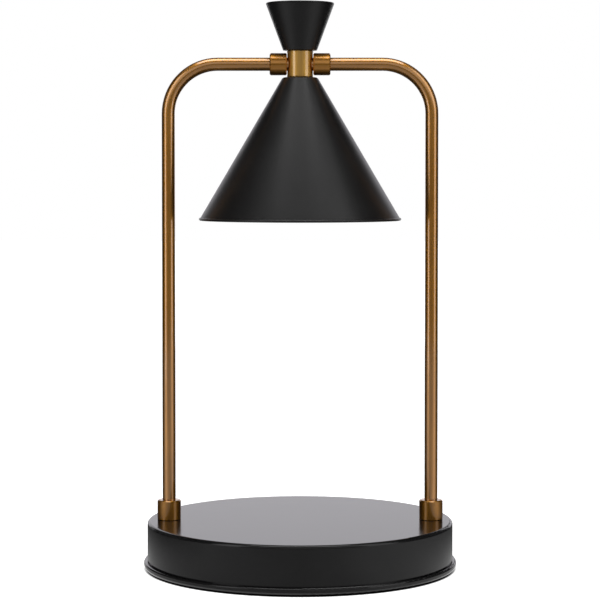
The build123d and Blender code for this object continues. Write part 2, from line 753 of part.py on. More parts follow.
# Bulb reflector: a bowl from the neck under the cap to the lip that holds the lens
lip_top = reflector_front + reflector_lip
neck_hole = cap_spigot_radius + seat_gap
belly_radius = (reflector_radius + reflector_neck_radius) / 2 + reflector_wall
belly_level = (lip_top + cap_bottom) / 2
with BuildPart() as bulb_reflector:
    with BuildSketch(Plane.XZ):
        with BuildLine():
            Line((neck_hole, cap_bottom), (reflector_neck_radius, cap_bottom))
            ThreePointArc(
                (reflector_neck_radius, cap_bottom), (belly_radius, belly_level), (reflector_radius, lip_top)
            )
            Polyline(
                (reflector_radius, lip_top),
                (reflector_radius, reflector_front),
                (reflector_radius - reflector_wall, reflector_front),
                (reflector_radius - reflector_wall, lip_top),
            )
            ThreePointArc(
                (reflector_radius - reflector_wall, lip_top),
                (belly_radius - reflector_wall, belly_level),
                (reflector_neck_radius - reflector_wall, cap_bottom - reflector_wall),
            )
            Polyline(
                (reflector_neck_radius - reflector_wall, cap_bottom - reflector_wall),
                (neck_hole, cap_bottom - reflector_wall),
                (neck_hole, cap_bottom),
            )
        make_face()
    revolve(axis=Axis.Z)
bulb_reflector.part.label = "bulb_reflector"
export_step(bulb_reflector.part, "parts/bulb_reflector.step")

# Bulb lens, inside the reflector's lip
with BuildPart() as bulb_lens:
    with BuildSketch(Plane.XY.offset(lens_level)):
        Circle(reflector_radius - reflector_wall - seat_gap)
    extrude(amount=lens_thickness)
    fillet(bulb_lens.edges(), lens_edge_round)
bulb_lens.part.label = "bulb_lens"
export_step(bulb_lens.part, "parts/bulb_lens.step")

# Bulb capsule: the halogen burner, held in the cap's spigot
with BuildPart() as bulb_capsule:
    with BuildSketch(Plane.XY.offset(cap_bottom - cap_spigot_height)):
        Circle(capsule_radius)
    extrude(amount=-capsule_height)
    fillet(bulb_capsule.edges().group_by(Axis.Z)[0], capsule_tip_round)
bulb_capsule.part.label = "bulb_capsule"
export_step(bulb_capsule.part, "parts/bulb_capsule.step")

# Arm lead: from the terminal block through the base, up the left arm and along it to the hub
lead_end = trunnion_end + 2 * lead_radius
sheath_start = block_length / 2 + 2 * block_edge_round + way_spacing
corner_level = tube_bottom - lead_drop
with BuildPart() as arm_lead:
    with BuildLine():
        FilletPolyline(
            (-sheath_start, block_offset, way_height),
            (-sheath_start - way_spacing, block_offset, way_height),
            (-arm_offset, 0, corner_level),
            (-arm_offset, 0, bar_level),
            (-lead_end, 0, bar_level),
            radius=[lead_bend_at_arm, lead_bend_at_arm, bend_radius],
        )
    with BuildSketch(Plane(origin=(-sheath_start, block_offset, way_height), z_dir=(-1, 0, 0))):
        Circle(lead_radius)
    sweep()
    for side in (-1, 1):
        core_y = block_offset + side * way_offset
        with BuildLine():
            FilletPolyline(
                (-sheath_start - core_radius, block_offset + side * core_offset, way_height),
                (-sheath_start + 2 * core_radius, block_offset + side * core_offset, way_height),
                (-block_length / 2 - 2 * core_radius, core_y, way_height),
                (-core_radius, core_y, way_height),
                radius=2 * core_radius,
            )
        with BuildSketch(Plane(origin=(-core_radius, core_y, way_height), z_dir=(-1, 0, 0))):
            Circle(core_radius)
        sweep()
arm_lead.part.label = "arm_lead"
export_step(arm_lead.part, "parts/arm_lead.step")

# Head lead: takes over on the tilt axis, turns down through the nipple and ends in the contacts
head_lead_start = lead_end - free_gap
sheath_end = nipple_bottom + 2 * core_radius
with BuildPart() as head_lead:
    with BuildLine():
        FilletPolyline(
            (-head_lead_start, 0, bar_level),
            (0, 0, bar_level),
            (0, 0, sheath_end),
            radius=lead_bend_in_hub,
        )
    with BuildSketch(Plane(origin=(-head_lead_start, 0, bar_level), z_dir=(1, 0, 0))):
        Circle(lead_radius)
    sweep()
    for side in (-1, 1):
        with BuildLine():
            FilletPolyline(
                (side * core_offset, 0, sheath_end + core_radius),
                (side * core_offset, 0, nipple_bottom),
                (side * pin_offset, 0, holder_top + 2 * core_radius),
                (side * pin_offset, 0, chamber_top + contact_height - contact_bore_depth + seat_gap),
                radius=2 * core_radius,
            )
        with BuildSketch(Plane(origin=(side * core_offset, 0, sheath_end + core_radius), z_dir=(0, 0, -1))):
            Circle(core_radius)
        sweep()
head_lead.part.label = "head_lead"
export_step(head_lead.part, "parts/head_lead.step")
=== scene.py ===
from math import atan2, ceil, cos, hypot, pi, radians, sin

import bpy
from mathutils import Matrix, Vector


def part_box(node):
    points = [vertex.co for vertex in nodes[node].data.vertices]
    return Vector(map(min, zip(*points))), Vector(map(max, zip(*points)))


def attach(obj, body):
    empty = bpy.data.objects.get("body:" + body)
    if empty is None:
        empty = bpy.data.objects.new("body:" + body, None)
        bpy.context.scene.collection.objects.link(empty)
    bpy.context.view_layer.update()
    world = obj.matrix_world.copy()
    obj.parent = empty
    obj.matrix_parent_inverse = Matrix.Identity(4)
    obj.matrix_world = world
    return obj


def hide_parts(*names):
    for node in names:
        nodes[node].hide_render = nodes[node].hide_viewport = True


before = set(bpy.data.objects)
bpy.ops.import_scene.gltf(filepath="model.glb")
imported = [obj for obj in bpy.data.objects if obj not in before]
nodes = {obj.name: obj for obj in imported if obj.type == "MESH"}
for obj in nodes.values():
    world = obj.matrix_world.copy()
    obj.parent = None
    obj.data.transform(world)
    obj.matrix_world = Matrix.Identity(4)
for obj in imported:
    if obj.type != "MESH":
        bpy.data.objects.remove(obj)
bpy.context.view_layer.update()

# A table lamp that warms what stands on its base. Metres, +Z up, the front is -Y. The origin is at the
# centre of the footprint, on the surface that the feet stand on.

# Sizes that the finishes and the added pieces follow, taken from the frame where it has them
arm_low, arm_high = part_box("left_arm")
tube_radius = (arm_high.y - arm_low.y) / 2
arm_offset = -arm_low.x - tube_radius
bar_level = arm_high.z - tube_radius
bend_radius = 0.030
base_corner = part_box("base_housing")[1]
base_edge = base_corner.x
base_top = base_corner.z
foot_ring_radius = 0.078
foot_groove_spacing = 0.0014
shade_low, shade_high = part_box("shade")
shade_top_radius = 0.0106
shade_rim_radius = shade_high.x
shade_bead = 0.0008
shade_wall = 0.001
enamel_inset = 0.55 * shade_wall
enamel_above_rim = 2.2 * shade_bead
scorch_depth = 0.03
bowl_low, bowl_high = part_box("bulb_reflector")
bowl_radius = bowl_high.x
bowl_lip = 0.0035
bowl_wall = 0.0012
bowl_neck_radius = 0.0115
bowl_neck_hole = 0.00655
capsule_low, capsule_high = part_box("bulb_capsule")


# Shader helpers. A scale is per metre, and a depth is in metres
def new_material(name):
    """An empty node material and its tree."""
    made = bpy.data.materials.new(name)
    made.use_nodes = True
    made.node_tree.nodes.clear()
    return made, made.node_tree


def add(tree, kind, inputs=(), **settings):
    """A shader node. An input is a number, a colour or another node's output, under its name or place."""
    made = tree.nodes.new("ShaderNode" + kind)
    for key, value in settings.items():
        setattr(made, key, value)
    for key, value in dict(inputs).items():
        socket = made.inputs[key]
        if isinstance(value, bpy.types.NodeSocket):
            tree.links.new(value, socket)
        elif socket.type == "RGBA":
            socket.default_value = (*value, 1.0)
        else:
            socket.default_value = value
    return made


def calc(tree, operation, first, second=0.0, third=0.0):
    """The result of a math node."""
    return add(tree, "Math", {0: first, 1: second, 2: third}, operation=operation).outputs[0]


def weighted(tree, first, share, second, other_share):
    """The sum of two values, each times its share."""
    shared = calc(tree, "MULTIPLY", first, share)
    return calc(tree, "ADD", shared, calc(tree, "MULTIPLY", second, other_share))


def spread(tree, value, low, high, start, end):
    """A value from low to high carried over to start to end, and held at those limits."""
    inputs = {"Value": value, "From Min": low, "From Max": high, "To Min": start, "To Max": end}
    return add(tree, "MapRange", inputs).outputs[0]


def blend_colours(tree, factor, first, second):
    """A colour between two others."""
    return add(tree, "Mix", {0: factor, 6: first, 7: second}, data_type="RGBA").outputs[2]


def place_on(tree):
    """The point on the object, in metres."""
    return add(tree, "TexCoord").outputs["Object"]


def parts_of(tree, vector):
    """The three parts of a vector."""
    return add(tree, "SeparateXYZ", {0: vector}).outputs[:]


def distance_across(tree, x, y):
    """The distance of a point from an axis, from its two parts across that axis."""
    squares = calc(tree, "ADD", calc(tree, "MULTIPLY", x, x), calc(tree, "MULTIPLY", y, y))
    return calc(tree, "SQRT", squares)


def noise(tree, vector, scale, detail=3.0, roughness=0.5):
    """A noise texture's value, about 0.5 on average."""
    inputs = {"Vector": vector, "Scale": scale, "Detail": detail, "Roughness": roughness}
    return add(tree, "TexNoise", inputs).outputs[0]


def streaks(tree, parts, scales, detail=3.0):
    """A noise over three parts, each with its own scale. Its grain runs along the one with the smallest."""
    scaled = [calc(tree, "MULTIPLY", part, scale) for part, scale in zip(parts, scales)]
    vector = add(tree, "CombineXYZ", dict(enumerate(scaled))).outputs[0]
    return noise(tree, vector, 1.0, detail)


def by_noise(tree, value, start, end, reach=0.2):
    """A number that goes from start to end while a noise goes through this reach each side of its middle."""
    return spread(tree, value, 0.5 - reach, 0.5 + reach, start, end)


def mottled(tree, value, first, second, reach=0.2):
    """A colour that goes from the first to the second as by_noise does."""
    return blend_colours(tree, by_noise(tree, value, 0.0, 1.0, reach), first, second)


def bump(tree, height, depth):
    """A normal from a height that goes from 0 to 1 over this depth."""
    return add(tree, "Bump", {"Height": height, "Distance": depth}).outputs[0]


def surface(made, tree, **inputs):
    """The finished material: a principled shader with these inputs, words joined by underscores."""
    shader = add(tree, "BsdfPrincipled", {key.replace("_", " "): value for key, value in inputs.items()})
    add(tree, "OutputMaterial", {"Surface": shader.outputs[0]})
    return made


# Black powder coat: a satin skin with a very fine pebble and a slow drift in its gloss
paint_black = (0.0058, 0.0056, 0.0060)
paint_worn = (0.0075, 0.0073, 0.0074)
enamel_pale = (0.74, 0.72, 0.67)
enamel_scorched = (0.6, 0.55, 0.46)


def paint_skin(tree, place, rough, drift, pebble):
    """The colour, roughness and normal of the powder coat, with a pebble this deep."""
    slow = noise(tree, place, 38.0)
    fine = noise(tree, place, 2300.0, detail=2.0, roughness=0.6)
    colour = mottled(tree, slow, paint_black, paint_worn, reach=0.15)
    return colour, by_noise(tree, slow, rough - drift, rough + drift), bump(tree, fine, pebble)


def black_paint(name, rough, drift, pebble):
    """The powder coat of a piece that is black all over."""
    made, tree = new_material(name)
    colour, roughness, normal = paint_skin(tree, place_on(tree), rough, drift, pebble)
    return surface(made, tree, Base_Color=colour, Roughness=roughness, Normal=normal, IOR=1.42)


def shade_paint():
    """The shade: satin black outside, and inside a pale heat-resistant enamel, scorched at its top."""
    made, tree = new_material("shade_powder_coat")
    place = place_on(tree)
    x, y, z = parts_of(tree, place)
    black, rough, normal = paint_skin(tree, place, rough=0.34, drift=0.012, pebble=0.000005)
    out = distance_across(tree, x, y)
    slope = (shade_rim_radius - shade_top_radius) / (shade_high.z - shade_low.z)
    cone_at_floor = shade_top_radius + shade_high.z * slope - enamel_inset
    in_cone = calc(tree, "LESS_THAN", out, calc(tree, "MULTIPLY_ADD", z, -slope, cone_at_floor))
    below_top = calc(tree, "LESS_THAN", z, shade_high.z - shade_wall / 2)
    above_bead = calc(tree, "GREATER_THAN", z, shade_low.z + enamel_above_rim)
    inside = calc(tree, "MULTIPLY", calc(tree, "MULTIPLY", in_cone, below_top), above_bead)
    scorch = spread(tree, z, shade_high.z - scorch_depth, shade_high.z, 0.0, 1.0)
    enamel = blend_colours(tree, scorch, enamel_pale, enamel_scorched)
    colour = blend_colours(tree, inside, black, enamel)
    spun = streaks(tree, (out, z, z), (900.0, 0.0, 900.0), detail=2.0)
    change = calc(tree, "SUBTRACT", by_noise(tree, spun, 0.36, 0.44), rough)
    rough = calc(tree, "ADD", rough, calc(tree, "MULTIPLY", inside, change))
    return surface(made, tree, Base_Color=colour, Roughness=rough, Normal=normal, IOR=1.5)


# Antique brass under clear lacquer. Its grain runs along the tubes, round the collars and up the hub.
# Each pair of tones is the darker and the lighter one
brass_tones = ((0.50, 0.200, 0.014), (0.69, 0.305, 0.035))
# The hub's tones are lighter than the tubes': painted light
hub_tones_painted_light = ((0.60, 0.310, 0.042), (0.80, 0.460, 0.085))
# The collars on the base get a darker copy of the brass tones: painted shade
foot_tones_painted_shade = ((0.39, 0.162, 0.013), (0.54, 0.245, 0.030))
lacquer_index = 2.05
collar_lacquer_index = 1.6


def brass_skin(tree, grain, stains, rough, depth, tones=brass_tones, lacquer=lacquer_index):
    """The inputs of a brass surface from its grain, this deep, and its slower stains."""
    return {
        "Base_Color": mottled(tree, weighted(tree, grain, 0.55, stains, 0.45), *tones),
        "Metallic": 1.0,
        "Roughness": by_noise(tree, grain, rough + 0.04, rough - 0.04),
        "Normal": bump(tree, grain, depth),
        "Coat_Weight": 1.0,
        "Coat_Roughness": 0.1,
        "Coat_IOR": lacquer,
    }


def tube_brass():
    """Grain drawn along the tube: up the arm, round its bend and along the crossbar."""
    made, tree = new_material("tube_brass")
    x, y, z = parts_of(tree, place_on(tree))
    right = calc(tree, "SUBTRACT", calc(tree, "ABSOLUTE", x), arm_offset - bend_radius)
    above = calc(tree, "SUBTRACT", z, bar_level - bend_radius)
    beyond = calc(tree, "MAXIMUM", right, 0.0)
    over = calc(tree, "MAXIMUM", above, 0.0)
    outwards = calc(tree, "SUBTRACT", distance_across(tree, beyond, over), bend_radius)
    turned = calc(tree, "MULTIPLY", calc(tree, "ARCTAN2", over, beyond), bend_radius)
    straight = calc(tree, "SUBTRACT", calc(tree, "MINIMUM", above, 0.0), calc(tree, "MINIMUM", right, 0.0))
    parts = (outwards, y, calc(tree, "ADD", turned, straight))
    grain = streaks(tree, parts, (2600.0, 2600.0, 45.0))
    stains = streaks(tree, parts, (160.0, 160.0, 22.0))
    return surface(made, tree, **brass_skin(tree, grain, stains, rough=0.36, depth=0.000003))


def collar_brass(name, axis, tone, rough, tones=brass_tones):
    """Rings left by the lathe round this axis. A lower tone is darker."""
    made, tree = new_material(name)
    place = place_on(tree)
    along = parts_of(tree, place)["XYZ".index(axis)]
    rings = streaks(tree, (along, along, along), (3200.0, 0.0, 0.0))
    grain = weighted(tree, rings, 0.65, noise(tree, place, 340.0), 0.35)
    stains = calc(tree, "ADD", noise(tree, place, 90.0), tone)
    skin = brass_skin(tree, grain, stains, rough, 0.000004, tones, collar_lacquer_index)
    return surface(made, tree, **skin)


def hub_brass_painted_light():
    """The hub: brushed upright, so that it shows in fine vertical bands. Its brass is a lighter copy of the
    tubes', painted light that brightens its reflection.
    """
    made, tree = new_material("hub_brass_painted_light")
    parts = parts_of(tree, place_on(tree))
    grain = streaks(tree, parts, (1500.0, 1500.0, 60.0), detail=4.0)
    stains = streaks(tree, parts, (330.0, 330.0, 60.0), detail=2.0)
    skin = brass_skin(tree, grain, stains, rough=0.46, depth=0.000006, tones=hub_tones_painted_light)
    return surface(made, tree, **skin)


# Hardware and inner pieces
rubber_black = (0.012, 0.012, 0.012)
rubber_dusty = (0.03, 0.03, 0.029)
mirror_bright = (0.82, 0.81, 0.78)
mirror_cloudy = (0.7, 0.69, 0.66)
glass_tint = (0.97, 0.98, 0.98)
grains_in_patch = 9


def plated_steel(name, colour, worn, rough):
    """Bright or blackened plating, with fine scratches and duller patches."""
    made, tree = new_material(name)
    place = place_on(tree)
    scratches = streaks(tree, parts_of(tree, place), (900.0, 2600.0, 700.0))
    tint = mottled(tree, noise(tree, place, 420.0), colour, worn, reach=0.15)
    roughness = by_noise(tree, scratches, rough - 0.06, rough + 0.08)
    normal = bump(tree, scratches, 0.000005)
    return surface(made, tree, Base_Color=tint, Metallic=1.0, Roughness=roughness, Normal=normal)


def rubber():
    """Black rubber with rings moulded round each foot and a dusty bloom."""
    made, tree = new_material("moulded_rubber")
    place = place_on(tree)
    x, y = parts_of(tree, place)[:2]
    bloom = noise(tree, place, 310.0, detail=4.0)
    pores = noise(tree, place, 2400.0, detail=2.0)
    longer = calc(tree, "MAXIMUM", calc(tree, "ABSOLUTE", x), calc(tree, "ABSOLUTE", y))
    shorter = calc(tree, "MINIMUM", calc(tree, "ABSOLUTE", x), calc(tree, "ABSOLUTE", y))
    from_foot = distance_across(tree, calc(tree, "SUBTRACT", longer, foot_ring_radius), shorter)
    rings = calc(tree, "SINE", calc(tree, "MULTIPLY", from_foot, 2 * pi / foot_groove_spacing))
    normal = bump(tree, weighted(tree, rings, 0.5, pores, 0.3), 0.00012)
    tint = blend_colours(tree, spread(tree, bloom, 0.35, 0.7, 0.0, 1.0), rubber_black, rubber_dusty)
    roughness = by_noise(tree, bloom, 0.62, 0.78)
    return surface(made, tree, Base_Color=tint, Roughness=roughness, Normal=normal)


def speckled(name, colour, other, rough, scale, depth, metallic=0.0):
    """A moulded, fired or cast surface with fine grain and faint mottling."""
    made, tree = new_material(name)
    place = place_on(tree)
    grain = noise(tree, place, scale, roughness=0.6)
    patches = noise(tree, place, scale / grains_in_patch)
    inputs = {
        "Base_Color": mottled(tree, patches, colour, other, reach=0.15),
        "Metallic": metallic,
        "Roughness": by_noise(tree, grain, rough - 0.05, rough + 0.05),
        "Normal": bump(tree, grain, depth),
    }
    return surface(made, tree, **inputs)


def clear_glass(name, ripple_scale, ripple_depth):
    """Clear glass with a faint moulded ripple."""
    made, tree = new_material(name)
    place = place_on(tree)
    inputs = {
        "Base_Color": glass_tint,
        "Roughness": spread(tree, noise(tree, place, 90.0), 0.35, 0.7, 0.02, 0.08),
        "IOR": 1.5,
        "Transmission_Weight": 1.0,
        "Normal": bump(tree, noise(tree, place, ripple_scale, detail=1.0), ripple_depth),
    }
    return surface(made, tree, **inputs)


def mirror_glass():
    """The aluminised bowl, a little cloudy."""
    made, tree = new_material("bowl_mirror")
    cloud = noise(tree, place_on(tree), 240.0)
    tint = mottled(tree, cloud, mirror_bright, mirror_cloudy)
    roughness = by_noise(tree, cloud, 0.06, 0.16)
    return surface(made, tree, Base_Color=tint, Metallic=1.0, Roughness=roughness)


def dress(material, *names):
    """Gives CAD nodes this material."""
    for name in names:
        node = nodes[name]
        if not node.material_slots:
            node.data.materials.append(material)
        for slot in node.material_slots:
            slot.material = material


zinc = plated_steel("zinc_plate", (0.62, 0.63, 0.66), (0.5, 0.5, 0.5), rough=0.3)
bowl_mirror = mirror_glass()
dress(black_paint("base_powder_coat", rough=0.17, drift=0.005, pebble=0.000003),
      "base_housing", "base_cover")
dress(shade_paint(), "shade")
dress(black_paint("finial_powder_coat", rough=0.34, drift=0.012, pebble=0.000005),
      "finial_cone", "finial_lid")
dress(tube_brass(), "left_arm", "right_arm")
dress(collar_brass("left_collar_brass", "X", tone=-0.08, rough=0.32), "left_hub_ferrule")
dress(collar_brass("right_collar_brass", "X", tone=0.08, rough=0.32), "right_hub_ferrule")
# The collars on the base: the same brass, darkened as painted shade
dress(collar_brass("foot_collar_brass_painted_shade", "Z", tone=-0.1, rough=0.42, tones=foot_tones_painted_shade),
      "left_base_ferrule", "right_base_ferrule")
dress(hub_brass_painted_light(), "hub")
dress(rubber(), "rubber_feet", "cord_grommet")
dress(zinc, "cover_screws", "ballast_screws", "block_screw", "arm_lock_washers", "arm_lock_nuts")
dress(zinc, "finial_stud", "finial_nut", "shade_washer", "shade_nut", "holder_nut", "shade_nipple")
dress(zinc, "holder_bracket", "holder_screws")
dress(plated_steel("black_screw_steel", (0.05, 0.048, 0.045), (0.09, 0.08, 0.07), rough=0.35),
      "ferrule_screws")
dress(plated_steel("nickel_pin", (0.68, 0.64, 0.58), (0.58, 0.54, 0.48), rough=0.2), "bulb_pins")
dress(plated_steel("contact_brass", (0.72, 0.52, 0.22), (0.6, 0.4, 0.16), rough=0.28),
      "terminal_inserts", "terminal_screws", "holder_contacts")
dress(speckled("ballast_iron", (0.09, 0.088, 0.085), (0.13, 0.12, 0.11), rough=0.62, scale=700.0,
               depth=0.00012, metallic=1.0), "ballast_weight")
dress(speckled("block_nylon", (0.78, 0.77, 0.73), (0.72, 0.71, 0.66), rough=0.42, scale=900.0,
               depth=0.000008), "terminal_block")
dress(speckled("lead_silicone", (0.016, 0.016, 0.016), (0.022, 0.022, 0.021), rough=0.5, scale=1200.0,
               depth=0.00001), "arm_lead", "head_lead")
dress(speckled("holder_steatite", (0.80, 0.78, 0.72), (0.74, 0.71, 0.64), rough=0.6, scale=1400.0,
               depth=0.00003), "lampholder")
dress(speckled("cap_steatite", (0.84, 0.82, 0.77), (0.78, 0.75, 0.68), rough=0.55, scale=1400.0,
               depth=0.00002), "bulb_cap")
dress(bowl_mirror, "bulb_reflector")
dress(clear_glass("lens_glass", ripple_scale=620.0, ripple_depth=0.00008), "bulb_lens")
dress(clear_glass("capsule_glass", ripple_scale=200.0, ripple_depth=0.00001), "bulb_capsule")


def put_in_scene(name, data):
    """A new object that holds this data."""
    made = bpy.data.objects.new(name, data)
    bpy.context.scene.collection.objects.link(made)
    return made


# Pieces that the frame holds in a plainer form, or not at all
def add_piece(name, points, faces, body, material):
    """A mesh piece of the object, riding on its body."""
    mesh = bpy.data.meshes.new(name)
    mesh.from_pydata(points, [], faces)
    mesh.materials.append(material)
    mesh.validate()
    made = put_in_scene(name, mesh)
    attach(made, body)
    return made


def arc_through(first, middle, last, count):
    """Points on the arc through three (radius, height) points, from the first to the last."""
    (ax, ay), (bx, by), (cx, cy) = first, middle, last
    twice_area = 2 * (ax * (by - cy) + bx * (cy - ay) + cx * (ay - by))
    a, b, c = ax * ax + ay * ay, bx * bx + by * by, cx * cx + cy * cy
    x = (a * (by - cy) + b * (cy - ay) + c * (ay - by)) / twice_area
    y = (a * (cx - bx) + b * (ax - cx) + c * (bx - ax)) / twice_area
    start, end = atan2(ay - y, ax - x), atan2(cy - y, cx - x)
    radius = hypot(ax - x, ay - y)
    turns = [start + (end - start) * step / count for step in range(count + 1)]
    return [(x + radius * cos(turn), y + radius * sin(turn)) for turn in turns]


def turned_shell(outline, facets):
    """Points and faces of a closed outline of (radius, height) points, turned round the lamp's axis."""
    points = []
    for step in range(facets):
        turn = 2 * pi * step / facets
        points += [(radius * cos(turn), radius * sin(turn), height) for radius, height in outline]
    count = len(outline)
    faces = []
    for step in range(facets):
        here, there = step * count, (step + 1) % facets * count
        for place in range(count):
            after = (place + 1) % count
            faces.append((here + place, there + place, there + after, here + after))
    return points, faces


def mirror_bowl():
    """The bulb's bowl, pressed inside into flat mirror facets in rings."""
    facets, rings = 44, 12
    lip_top = bowl_low.z + bowl_lip
    inner_lip = bowl_radius - bowl_wall
    inner_top = bowl_high.z - bowl_wall
    belly_radius = (bowl_radius + bowl_neck_radius) / 2 + bowl_wall
    belly_level = (lip_top + bowl_high.z) / 2
    outside = arc_through((bowl_neck_radius, bowl_high.z), (belly_radius, belly_level),
                          (bowl_radius, lip_top), rings)
    inside = arc_through((inner_lip, lip_top), (belly_radius - bowl_wall, belly_level),
                         (bowl_neck_radius - bowl_wall, inner_top), rings)
    outline = [(bowl_neck_hole, bowl_high.z), *outside, (bowl_radius, bowl_low.z)]
    first_inner = len(outline)
    outline += [(inner_lip, bowl_low.z), *inside, (bowl_neck_hole, inner_top)]
    points, faces = turned_shell(outline, facets)
    bowl = add_piece("mirror_bowl", points, faces, "bulb", bowl_mirror)
    for number, face in enumerate(bowl.data.polygons):
        face.use_smooth = number % len(outline) < first_inner
    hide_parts("bulb_reflector")


def wire_mesh(route, radius, sides=8):
    """Points and faces of a round wire along a route, closed at both ends."""
    points, faces = [], []
    for number, place in enumerate(route):
        before, after = route[max(number - 1, 0)], route[min(number + 1, len(route) - 1)]
        ahead = (after - before).normalized()
        aside = Vector((1, 0, 0)) if abs(ahead.x) < 0.8 else Vector((0, 1, 0))
        across = ahead.cross(aside).normalized()
        other = ahead.cross(across)
        for side in range(sides):
            turn = 2 * pi * side / sides
            points.append(tuple(place + radius * (cos(turn) * across + sin(turn) * other)))
    for number in range(len(route) - 1):
        here, there = number * sides, (number + 1) * sides
        for side in range(sides):
            beside = (side + 1) % sides
            faces.append((here + side, here + beside, there + beside, there + side))
    faces.append(tuple(reversed(range(sides))))
    faces.append(tuple(range(len(points) - sides, len(points))))
    return points, faces


def burner_wires():
    """Inside the capsule: a coiled filament between the two wires that hold it and feed it."""
    wire_radius, coil_wire_radius, coil_radius = 0.00022, 0.00011, 0.0007
    spacing, turns, steps_a_turn, coil_sides = 0.0042, 11, 14, 6
    coil_level, wire_top = capsule_low.z + 0.0075, capsule_high.z - 0.0005
    wires = []
    for side in (-1, 1):
        across = side * spacing / 2
        ends = [Vector((across, 0, coil_level)), Vector((across, 0, wire_top))]
        wires.append(wire_mesh(ends, wire_radius))
    steps = turns * steps_a_turn
    coil = []
    for step in range(steps + 1):
        turn = 2 * pi * step / steps_a_turn
        across = -spacing / 2 + spacing * step / steps
        coil.append(Vector((across, coil_radius * sin(turn), coil_level + coil_radius * cos(turn))))
    wires.append(wire_mesh(coil, coil_wire_radius, coil_sides))
    points, faces = [], []
    for wire_points, wire_faces in wires:
        faces += [tuple(len(points) + corner for corner in face) for face in wire_faces]
        points += wire_points
    material = plated_steel("burner_wire", (0.45, 0.44, 0.42), (0.3, 0.3, 0.29), rough=0.3)
    add_piece("burner_wires", points, faces, "bulb", material)


mirror_bowl()
burner_wires()


# Stage: a pale floor, a white world, soft lamps, and the room that the metal and paint reflect.
# An azimuth is in degrees: 0 is the front, and it grows to the right
panel_step = 4
room_radius = 1.6
ceiling_level = 1.8
window_top = 1.05
lamp_distance = 0.95
lamp_aim = (0, 0, 0.4)
overhead_forward = -0.15
sheen_level = 0.002
sheen_outer_level = 0.0015
sheen_inner_edge = base_edge + 0.0007
floor_reach = 6.0
floor_glow = 0.82
floor_white = (0.8, 0.8, 0.8)
# The floor's colour in a thin ring at the base's edge: a painted contact shadow
painted_contact_shadow = (0.0, 0.0, 0.0)
contact_inside = base_edge - 0.0015
contact_outside = base_edge + 0.0003
under_base = base_edge - 0.012
hidden_floor = base_edge - 0.016
sky_white = (1.0, 1.0, 1.0)
sky_in_gloss = (0.97, 0.95, 1.0)
sky_light = 0.45
camera_distance = 1.2817
camera_height = 0.2416
camera_looks_down = 2.369


def around(azimuth, distance, height):
    """A place round the lamp."""
    turn = radians(azimuth)
    return (distance * sin(turn), -distance * cos(turn), height)


def between(stops, place):
    """The value at a place among (place, value) stops."""
    for (start, first), (end, last) in zip(stops, stops[1:]):
        if place <= end:
            return first + (last - first) * (place - start) / (end - start)
    return stops[-1][1]


def panel_glow(name):
    """Shines with the radiance that the panel's points hold."""
    made, tree = new_material(name)
    radiance = add(tree, "Attribute", attribute_name="radiance").outputs["Fac"]
    glow = add(tree, "Emission", {"Strength": radiance})
    add(tree, "OutputMaterial", {"Surface": glow.outputs[0]})
    return made


def curved_panel(name, rows):
    """A panel bent round the lamp, seen in reflections alone. A row has its distance, its height and its
    stops, each an azimuth and the radiance there."""
    first, last = rows[0][2][0][0], rows[0][2][-1][0]
    steps = ceil((last - first) / panel_step)
    points, radiances, faces = [], [], []
    for step in range(steps + 1):
        azimuth = first + (last - first) * step / steps
        for distance, height, stops in rows:
            points.append(around(azimuth, distance, height))
            radiances.append(between(stops, azimuth))
    count = len(rows)
    for step in range(steps):
        for row in range(count - 1):
            here, there = step * count + row, (step + 1) * count + row
            faces.append((here, there, there + 1, here + 1))
    mesh = bpy.data.meshes.new(name)
    mesh.from_pydata(points, [], faces)
    mesh.attributes.new("radiance", "FLOAT", "POINT").data.foreach_set("value", radiances)
    mesh.materials.append(panel_glow(name + "_glow"))
    made = put_in_scene(name, mesh)
    made.visible_camera = False
    made.visible_diffuse = False
    made.visible_shadow = False
    made.visible_transmission = False


def wall(name, levels, shares):
    """A curved wall: a radiance at each level, and the share of it that is left at each azimuth."""
    rows = []
    for height, radiance in levels:
        rows.append((room_radius, height, [(azimuth, radiance * share) for azimuth, share in shares]))
    curved_panel(name, rows)


def softbox(name, centre, size, aim, radiance):
    """A rectangular lamp of this brightness, seen in reflections and not by the camera."""
    data = bpy.data.lights.new(name, "AREA")
    data.shape = "RECTANGLE"
    data.size, data.size_y = size
    data.energy = radiance * pi * size[0] * size[1]
    made = put_in_scene(name, data)
    made.location = centre
    made.rotation_euler = (Vector(aim) - Vector(centre)).to_track_quat("-Z", "Y").to_euler()
    made.visible_camera = False


def seen_directly(tree, path):
    """1 on a ray from the camera, off gloss or through glass, and 0 on the others."""
    seen = calc(tree, "MAXIMUM", path.outputs["Is Camera Ray"], path.outputs["Is Glossy Ray"])
    return calc(tree, "MAXIMUM", seen, path.outputs["Is Transmission Ray"])


def floor_paper():
    """Pale and matt, white to the camera and in reflections, and clear from below. The dark line round the
    base's edge is a painted contact shadow. Further in it is pale again, which lights the base's underside."""
    made, tree = new_material("floor_paper")
    seen = seen_directly(tree, add(tree, "LightPath"))
    x, y = parts_of(tree, place_on(tree))[:2]
    out = distance_across(tree, x, y)
    open_floor = spread(tree, out, contact_inside, contact_outside, 0.0, 1.0)
    covered_floor = spread(tree, out, hidden_floor, under_base, 1.0, 0.0)
    share = calc(tree, "MAXIMUM", open_floor, covered_floor)
    matt = add(tree, "BsdfDiffuse", {"Color": blend_colours(tree, share, painted_contact_shadow, floor_white)})
    strength = calc(tree, "MULTIPLY", calc(tree, "MULTIPLY", seen, share), floor_glow)
    glow = add(tree, "Emission", {"Strength": strength})
    both = add(tree, "AddShader", {0: matt.outputs[0], 1: glow.outputs[0]})
    from_below = add(tree, "NewGeometry").outputs["Backfacing"]
    clear = add(tree, "BsdfTransparent")
    one_sided = add(tree, "MixShader", {0: from_below, 1: both.outputs[0], 2: clear.outputs[0]})
    add(tree, "OutputMaterial", {"Surface": one_sided.outputs[0]})
    return made


